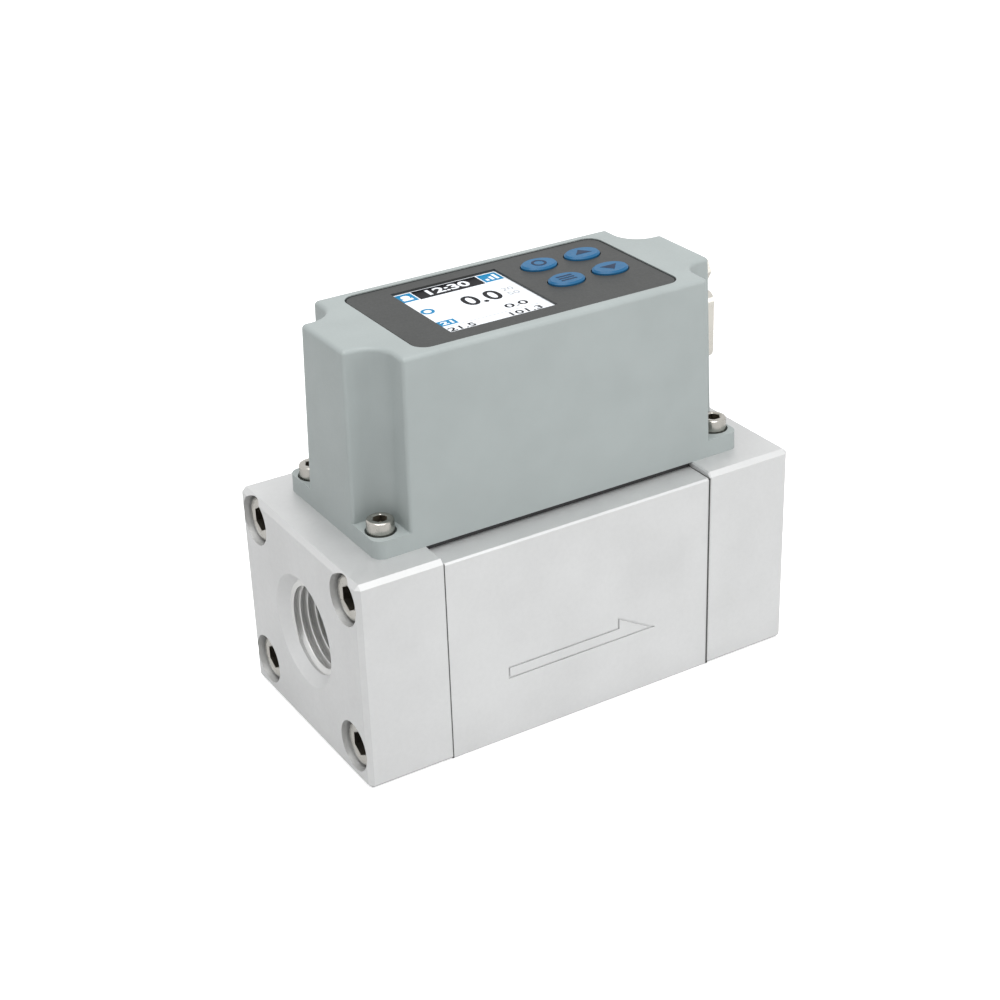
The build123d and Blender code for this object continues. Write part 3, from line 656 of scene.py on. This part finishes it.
def close_ends(piece):
    # Fills the open outline at each end and turns all faces outwards.
    select_nothing_in(piece, "VERT")
    bpy.ops.object.mode_set(mode="EDIT")
    bpy.ops.mesh.select_non_manifold()
    bpy.ops.mesh.fill()
    bpy.ops.mesh.select_all(action="SELECT")
    bpy.ops.mesh.normals_make_consistent(inside=False)
    bpy.ops.object.mode_set(mode="OBJECT")


# %% Split washers
WASHER_DEGREES = 348
WASHER_STEPS = 64


def split_washer(inner, outer, thickness):
    ring = flat_section([(inner, 0, 0), (outer, 0, 0), (inner, 0, thickness), (outer, 0, thickness)])
    wind_outline(ring, "Z", WASHER_STEPS, degrees=WASHER_DEGREES)
    close_ends(ring)
    smooth(ring, SCREW_SMOOTHNESS)
    return ring


for block, face_x, inward, turn in END_BLOCKS:
    model = split_washer(inner=3.1 * MM, outer=5.0 * MM, thickness=BLOCK_WASHER)
    places = counterbore_places(face_x, inward, BLOCK_SEAT)
    finish_piece(copies_at(model, places, (0, turn, 0)), block + "_washers",
                 material=bright_steel)

# %% [markdown]
# ## Joints between the blocks
# Where two blocks meet, their broken edges leave a fine gap that lies in shade and looks dark. That
# shade is painted: a thin dark frame stands just proud of the flow body at each joint. It could be
# painted by a material, but then it would be missing from the mesh. The frame is a flat box whose two
# end faces are inset and bridged, which opens it in the middle.


# %% Painted shade line at each joint
JOINT_PROUD = 0.1 * MM
JOINT_FOOT = 0.4 * MM
JOINT_FRAME = 1.0 * MM


def hollow_out(piece, axis, wall):
    # Opens a piece along an axis, counted from X as 0, and leaves this wall round the opening.
    select_faces(piece, lambda face: abs(face.normal[axis]) > FACING)
    bpy.ops.mesh.inset(thickness=wall)
    bpy.ops.mesh.bridge_edge_loops()
    bpy.ops.object.mode_set(mode="OBJECT")


# A thin dark frame of painted shade at one joint between two blocks.
def joint_shade_line(joint_x, width, name):
    low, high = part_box("flow_body")
    height = high.z + JOINT_PROUD / 2 - JOINT_FOOT
    start_clean()
    bpy.ops.mesh.primitive_cube_add(size=1, location=(joint_x, 0, JOINT_FOOT + height / 2),
                                    scale=(width, high.y - low.y + 2 * JOINT_PROUD, height))
    line = bpy.context.active_object
    settle(line)
    hollow_out(line, 0, JOINT_FRAME)
    finish_piece(line, name, material=joint_gap_shade)


joint_shade_line(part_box("flow_body")[0].x, 0.3 * MM, "inlet_joint_line")
joint_shade_line(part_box("flow_body")[1].x, 0.45 * MM, "outlet_joint_line")

# %% [markdown]
# ## Painted shade at the edge of the overlay film
# The film lies a little below the housing's top, and the narrow seat round its edge lies in shade,
# which shows as a thin dark line all round. That shade is painted as a dark ring: a plane gets rounded
# corners with a vertex bevel, an inset leaves a narrow ring of it, and the ring is extruded down into
# the film.

# %% Painted shade line at the edge of the film
FILM_CORNER = 3.2 * MM
FILM_CORNER_STEPS = 10
FILM_LINE = 0.28 * MM
FILM_SUNK = 0.02 * MM
panel_low, panel_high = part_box("overlay_panel")
start_clean()
bpy.ops.mesh.primitive_plane_add(size=1, location=(0, 0, panel_high.z + FILM_SUNK / 2))
seat_shade_ring = bpy.context.active_object
seat_shade_ring.scale = (panel_high.x - panel_low.x, panel_high.y - panel_low.y, 1)
settle(seat_shade_ring)
bpy.ops.object.mode_set(mode="EDIT")
bpy.ops.mesh.select_all(action="SELECT")
bpy.ops.mesh.bevel(offset=FILM_CORNER, segments=FILM_CORNER_STEPS, affect="VERTICES")
bpy.ops.mesh.select_all(action="SELECT")
bpy.ops.mesh.inset(thickness=FILM_LINE)
bpy.ops.mesh.delete(type="FACE")
bpy.ops.mesh.select_all(action="SELECT")
bpy.ops.mesh.extrude_region_move(TRANSFORM_OT_translate={"value": (0, 0, -FILM_SUNK)})
bpy.ops.mesh.select_all(action="SELECT")
bpy.ops.mesh.normals_make_consistent(inside=False)
bpy.ops.object.mode_set(mode="OBJECT")
finish_piece(seat_shade_ring, "overlay_seat_shade_line", material=overlay_seat_shade)

# %% [markdown]
# ## Keys
# Each key is an oval button with a rounded edge, and its body is the one that moves when it is
# pressed. The smooth copy of a key is lowered a hair at its top, so that the symbol printed on it
# ends level with the model's own key.

# %% Oval keys
KEY_SMOOTHNESS = 35
KEY_TOP_BAND = 0.2 * MM
SYMBOL_THICKNESS = 0.03 * MM
for key in KEYS:
    cap = smooth_copy(key + "_key", KEY_SMOOTHNESS)
    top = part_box(key + "_key")[1].z
    for vertex in cap.data.vertices:
        if vertex.co.z > top - KEY_TOP_BAND:
            vertex.co.z -= SYMBOL_THICKNESS
    finish_piece(cap, "dressed_" + key + "_key", material=key_blue,
                 body=key + "_key_cap", replaces=[key + "_key"])


# %% [markdown]
# ## Symbols on the keys
# Print has almost no thickness, but a thin plate keeps its outline crisp at any distance, where a
# painted pattern would need one of its own for each key. The symbols are a triangle up, a triangle
# down, a ring and three bars.


# %% Triangles
TRIANGLE_RADIUS = 2.1 * MM
TRIANGLE_SHAPE = (1.15, 0.8, 1)


def symbol_place(key):
    low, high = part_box(key + "_key")
    return Vector(((low.x + high.x) / 2, (low.y + high.y) / 2, high.z - SYMBOL_THICKNESS / 2))


def finish_symbol(piece, key):
    finish_piece(piece, key + "_key_symbol", material=key_symbol,
                 body=key + "_key_cap")


def triangle(key, turn):
    start_clean()
    bpy.ops.mesh.primitive_cylinder_add(vertices=3, radius=TRIANGLE_RADIUS, depth=SYMBOL_THICKNESS,
                                        location=symbol_place(key), rotation=(0, 0, turn))
    mark = bpy.context.active_object
    mark.scale = TRIANGLE_SHAPE
    settle(mark)
    return mark


finish_symbol(triangle("up", 0), "up")
finish_symbol(triangle("down", math.radians(180)), "down")


# %% Ring and bars
BAR_LENGTH = 3.8 * MM
BAR_WIDTH = 0.55 * MM
BAR_SPACING = 1.1 * MM
BAR_BEVEL = 0.008 * MM


def flat_ring(place, outer, wall, thickness, sides):
    # A ring that lies flat, or a disc where its wall is zero.
    start_clean()
    bpy.ops.mesh.primitive_cylinder_add(vertices=sides, radius=outer, depth=thickness,
                                        location=place)
    ring = bpy.context.active_object
    settle(ring)
    if wall:
        hollow_out(ring, 2, wall)
    return ring


def soften(piece, width):
    bevel = piece.modifiers.new("soften", "BEVEL")
    bevel.width = width
    bevel.segments = 3
    bevel.affect = "EDGES"
    bevel.limit_method = "ANGLE"
    bevel.angle_limit = math.radians(50)
    only(piece)
    bpy.ops.object.modifier_apply(modifier=bevel.name)


def bar_at(place):
    start_clean()
    bpy.ops.mesh.primitive_cube_add(size=1, location=place,
                                    scale=(BAR_LENGTH, BAR_WIDTH, SYMBOL_THICKNESS))
    bar = bpy.context.active_object
    settle(bar)
    soften(bar, BAR_BEVEL)
    return bar


ring = flat_ring(symbol_place("cancel"), outer=1.7 * MM, wall=0.6 * MM, thickness=SYMBOL_THICKNESS,
                 sides=48)
finish_symbol(ring, "cancel")
bars = [bar_at(symbol_place("mode") + Vector((0, row * BAR_SPACING, 0))) for row in (-1, 0, 1)]
finish_symbol(join(bars), "mode")

# %% [markdown]
# ## Pipe threads
# Each port has a half-inch parallel pipe thread, 14 turns to the inch, whose rounded crests catch
# the light as thin lines. A boolean cut along a helix breaks into slivers, so the ridge is a piece
# of its own on the bore's wall. Its section is a small face with two rounded corners, and the
# Screw modifier winds it along the bore.
# Where the 45 degree mouth cuts into the first turns, each point of the ridge is pushed out to the
# mouth's cone, as the chamfering tool would leave it. Past the mouth, the ridge rises to its full
# height within a tenth of a millimetre.

# %% Thread sizes
THREAD_PITCH = 1.814 * MM
THREAD_DEPTH = 15.0 * MM
THREAD_TURNS = math.ceil(THREAD_DEPTH / THREAD_PITCH)
THREAD_STEPS = 96
THREAD_WALL_RADIUS = 10.48 * MM
THREAD_CREST_RADIUS = 9.32 * MM
THREAD_CREST_FLAT = 0.36 * MM
THREAD_CREST_ROUND = 0.17 * MM
THREAD_CREST_STEPS = 4
THREAD_ROOT_GAP = 0.24 * MM
THREAD_HALF_BASE = (THREAD_PITCH - THREAD_ROOT_GAP) / 2
THREAD_INSET = 0.02 * MM
THREAD_START_SLOPE = 12
THREAD_SMOOTHNESS = 30
MOUTH_RADIUS = 12.68 * MM
MOUTH_DEPTH = 2.2 * MM
PORT_HEIGHT = 25.2 * MM
EMBED = 0.05 * MM
print("thread length, mm:", round(THREAD_TURNS * THREAD_PITCH / MM, 2))


# %% Section of the ridge
def ridge_section():
    # The base stands a little inside the bore's wall, so that no gap shows between them.
    corners = [
        (-THREAD_HALF_BASE, 0, THREAD_WALL_RADIUS + EMBED),
        (THREAD_HALF_BASE, 0, THREAD_WALL_RADIUS + EMBED),
        (-THREAD_CREST_FLAT / 2, 0, THREAD_CREST_RADIUS),
        (THREAD_CREST_FLAT / 2, 0, THREAD_CREST_RADIUS),
    ]
    section = flat_section(corners)
    select_points(section, lambda point: point.z < THREAD_CREST_RADIUS + EMBED)
    bpy.ops.mesh.bevel(offset=THREAD_CREST_ROUND, segments=THREAD_CREST_STEPS, affect="VERTICES")
    return section


# %% Wind the ridge and open its mouth
def least_radius(depth):
    # The least radius that the ridge may have at a depth below the block's face.
    if depth > MOUTH_DEPTH:
        return THREAD_WALL_RADIUS + EMBED - THREAD_START_SLOPE * (depth - MOUTH_DEPTH)
    return MOUTH_RADIUS + EMBED - depth


def open_mouth(ridge):
    for vertex in ridge.data.vertices:
        depth, y, z = vertex.co
        push = max(1.0, least_radius(depth) / math.hypot(y, z))
        vertex.co = (depth, y * push, z * push)


def wind_thread(face_x, inward, name):
    ridge = ridge_section()
    wind_outline(ridge, "X", THREAD_STEPS, pitch=THREAD_PITCH, turns=THREAD_TURNS)
    merge_doubles(ridge)
    close_ends(ridge)
    ridge.location = (THREAD_HALF_BASE + THREAD_INSET, 0, 0)
    settle(ridge)
    open_mouth(ridge)
    if inward < 0:
        ridge.rotation_euler = (0, 0, math.radians(180))
    ridge.location = (face_x, 0, PORT_HEIGHT)
    settle(ridge)
    smooth(ridge, THREAD_SMOOTHNESS)
    finish_piece(ridge, name, material=turned_aluminium)


wind_thread(INLET_FACE_X, 1, "inlet_port_thread")
wind_thread(OUTLET_FACE_X, -1, "outlet_port_thread")

# %% [markdown]
# ## The picture on the display
# The screen shows a white page with a black title band, small blue icons, a large reading and a
# few small numbers. Each mark is a thin plate just above the glass, so that it stays crisp from
# any side, and a mark's level says how many plates lie under it. The numbers are text in the
# built-in font, made a mesh and fitted to a box.

# %% Plates and discs
PAGE_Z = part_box("display_glass")[1].z
PAGE_THICKNESS = 0.015 * MM
PAGE_MARGIN = 0.6 * MM
SCREEN_LEFT = -21.8 * MM
SCREEN_RIGHT = 3.6 * MM
SCREEN_FRONT = -12.3 * MM
SCREEN_BACK = 12.9 * MM


def underside(level):
    return PAGE_Z + level * PAGE_THICKNESS


def mm_box(*values):
    return [v * MM for v in values]


def plate(x0, x1, y0, y1, level):
    start_clean()
    middle = ((x0 + x1) / 2, (y0 + y1) / 2, underside(level) + PAGE_THICKNESS / 2)
    bpy.ops.mesh.primitive_cube_add(size=1, location=middle,
                                    scale=(x1 - x0, y1 - y0, PAGE_THICKNESS))
    return bpy.context.active_object


def round_mark(x, y, outer, wall, level):
    # A ring, or a disc where its wall is zero, lying on the page.
    place = (x, y, underside(level) + PAGE_THICKNESS / 2)
    return flat_ring(place, outer, wall, PAGE_THICKNESS, sides=40)


def join_as(pieces, name, material):
    whole = join(pieces)
    settle(whole)
    finish_piece(whole, name, material=material)


page = plate(SCREEN_LEFT - PAGE_MARGIN, SCREEN_RIGHT + PAGE_MARGIN,
             SCREEN_FRONT - PAGE_MARGIN, SCREEN_BACK + PAGE_MARGIN, 0)
join_as([page], "screen_page", screen_white)


# %% Numbers
BOLD = 0.03
REGULAR = 0.018


def number(text, x0, x1, y0, y1, level, weight):
    # Text that fills the box from x0, y0 to x1, y1. Its strokes are thickened by weight, and its
    # extrusion only has to be more than zero, because the scale brings it to the page's thickness.
    start_clean()
    bpy.ops.object.text_add(location=(0, 0, 0))
    words = bpy.context.active_object
    words.data.body = text
    words.data.extrude = 0.5
    words.data.offset = weight
    bpy.ops.object.convert(target="MESH")
    words = bpy.context.active_object
    low = Vector(min(v.co[i] for v in words.data.vertices) for i in range(3))
    high = Vector(max(v.co[i] for v in words.data.vertices) for i in range(3))
    size = high - low
    scale = Vector(((x1 - x0) / size.x, (y1 - y0) / size.y, PAGE_THICKNESS / size.z))
    words.scale = scale
    words.location = (x0 - low.x * scale.x, y0 - low.y * scale.y, underside(level) - low.z * scale.z)
    settle(words)
    return words


# %% Title band and icons
join_as([plate(*mm_box(-17.2, -1.5, 7.9, 12.7), 1)], "screen_title_band", screen_black)
join_as([number("12:30", *mm_box(-14.4, -4.3, 8.9, 11.9), 2, BOLD)], "screen_clock", screen_white)
icon_boxes = [(-21.5, -17.5, 8.1, 12.5), (-1.2, 3.3, 8.1, 12.5), (-21.4, -17.2, -7.6, -5.0)]
icons = [plate(*mm_box(*box), 1) for box in icon_boxes]
icons.append(round_mark(-19.5 * MM, 1.2 * MM, outer=1.5 * MM, wall=0.65 * MM, level=1))
join_as(icons, "screen_icons", screen_blue)
glyphs = [
    round_mark(-19.5 * MM, 10.7 * MM, outer=1.0 * MM, wall=0, level=2),
    plate(*mm_box(-20.7, -18.3, 8.9, 9.9), 2),
    plate(*mm_box(-0.5, 0.2, 8.9, 9.9), 2),
    plate(*mm_box(0.7, 1.4, 8.9, 10.8), 2),
    plate(*mm_box(1.9, 2.6, 8.9, 11.7), 2),
    number("21", *mm_box(-20.7, -17.9, -7.1, -5.5), 2, BOLD),
]
join_as(glyphs, "screen_icon_glyphs", screen_white)

# %% Readings
join_as([number("0.0", *mm_box(-11.0, -2.1, -1.4, 4.0), 1, REGULAR)], "screen_reading", screen_black)
range_numbers = [
    number("20", *mm_box(-0.9, 1.9, 1.7, 3.4), 1, REGULAR),
    number("50", *mm_box(-0.9, 1.9, -0.9, 0.8), 1, REGULAR),
]
join_as(range_numbers, "screen_range", screen_grey)
low_numbers = [
    number("0.0", *mm_box(-5.2, 0.2, -6.9, -4.8), 1, REGULAR),
    number("21.5", *mm_box(-21.0, -14.8, -10.9, -9.0), 1, REGULAR),
    number("101.3", *mm_box(-6.4, 1.1, -10.9, -9.0), 1, REGULAR),
]
join_as(low_numbers, "screen_small_numbers", screen_black)
join_as([plate(*mm_box(-20.6, 1.8, -8.3, -8.1), 1)], "screen_line", screen_grey)

# %% [markdown]
# ## Camera
# The camera looks from the left of the meter and from above, with a long lens, so that its edges
# hardly converge. Its place and turn were worked out from the straight edges of the blocks and the
# housing. Angles are in degrees, and lens and sensor in millimetres.

# %% Camera
CAMERA_PLACE = Vector((-195.96, -323.49, 237.0)) * MM
CAMERA_LENS = 69.55
CAMERA_SENSOR = 36
CAMERA_AZIMUTH = -30.61
CAMERA_ELEVATION = 27.45
CAMERA_ROLL = -2.02

start_clean()
bpy.ops.object.camera_add(location=CAMERA_PLACE)
camera = bpy.context.active_object
camera.data.lens = CAMERA_LENS
camera.data.sensor_width = CAMERA_SENSOR
turn = Euler((math.radians(90 - CAMERA_ELEVATION), 0, math.radians(CAMERA_AZIMUTH))).to_matrix()
turn = turn @ Matrix.Rotation(math.radians(CAMERA_ROLL), 3, "Z")
camera.rotation_euler = turn.to_euler()
bpy.context.scene.camera = camera

# %% [markdown]
# ## Floor
# The meter stands on a white sheet. More lamp light would make the sheet white, but it would wash
# out the meter too. So the sheet shows the camera a little light of its own, added to what falls
# on it, and the soft shadow under the meter stays.


# %% White floor
FLOOR_SIZE = 8
FLOOR_GLOW = 0.6


def floor_finish():
    material, tree, shader = new_finish("white_floor", (0.8, 0.8, 0.8), roughness=0.9)
    path = tree.nodes.new("ShaderNodeLightPath")
    glow = tree.nodes.new("ShaderNodeMath")
    glow.operation = "MULTIPLY"
    glow.inputs[1].default_value = FLOOR_GLOW
    tree.links.new(path.outputs["Is Camera Ray"], glow.inputs[0])
    shader.inputs["Emission Color"].default_value = (1, 1, 1, 1)
    tree.links.new(glow.outputs["Value"], shader.inputs["Emission Strength"])
    return material


start_clean()
bpy.ops.mesh.primitive_plane_add(size=FLOOR_SIZE, location=(0, 0, 0))
floor = bpy.context.active_object
floor.name = "floor"
floor.data.materials.append(floor_finish())

# %% [markdown]
# ## Studio world
# The world lights the meter evenly, as a white tent does. It is plain white where the camera, a
# reflection or a ray through glass looks at it, and dimmer where it only gives light. Two clamped
# sums put the three kinds of ray together.


# %% World
WORLD_LIGHT = 0.55


def clamped_sum(tree, first, second):
    total = tree.nodes.new("ShaderNodeMath")
    total.operation = "ADD"
    total.use_clamp = True
    tree.links.new(first, total.inputs[0])
    tree.links.new(second, total.inputs[1])
    return total.outputs["Value"]


def studio_world():
    world = bpy.data.worlds.new("studio")
    world.use_nodes = True
    bpy.context.scene.world = world
    tree = world.node_tree
    background = tree.nodes["Background"]
    background.inputs["Color"].default_value = (1, 1, 1, 1)
    path = tree.nodes.new("ShaderNodeLightPath")
    seen = clamped_sum(tree, path.outputs["Is Camera Ray"], path.outputs["Is Glossy Ray"])
    seen = clamped_sum(tree, seen, path.outputs["Is Transmission Ray"])
    level = tree.nodes.new("ShaderNodeMapRange")
    level.inputs["To Min"].default_value = WORLD_LIGHT
    level.inputs["To Max"].default_value = 1.0
    tree.links.new(seen, level.inputs["Value"])
    tree.links.new(level.outputs["Result"], background.inputs["Strength"])


studio_world()


# %% [markdown]
# ## Lamps
# Large square lamps give soft edges to the shadows. The one above is the main light, the one in
# front on the right lifts the long front faces, and the one on the left is nearly off, so that the
# inlet face stays the darker side. Places and sizes are in millimetres and power is in watts.


# %% Soft lamps
LAMP_AIM = Vector((0, 0, 45)) * MM


def soft_lamp(name, place_mm, size_mm, power):
    start_clean()
    bpy.ops.object.light_add(type="AREA", location=Vector(place_mm) * MM)
    lamp = bpy.context.active_object
    lamp.name = name
    lamp.data.shape = "SQUARE"
    lamp.data.size = size_mm * MM
    lamp.data.energy = power
    towards = LAMP_AIM - lamp.location
    lamp.rotation_euler = towards.to_track_quat("-Z", "Y").to_euler()


soft_lamp("top_lamp", (-100, -150, 900), 700, power=6.5)
soft_lamp("front_lamp", (500, -800, 250), 500, power=2.2)
soft_lamp("left_lamp", (-800, -200, 300), 600, power=0.1)

# %% [markdown]
# ## Picture settings
# The Standard view shows a colour about as it is written.

# %% Picture settings
bpy.context.scene.view_settings.view_transform = "Standard"
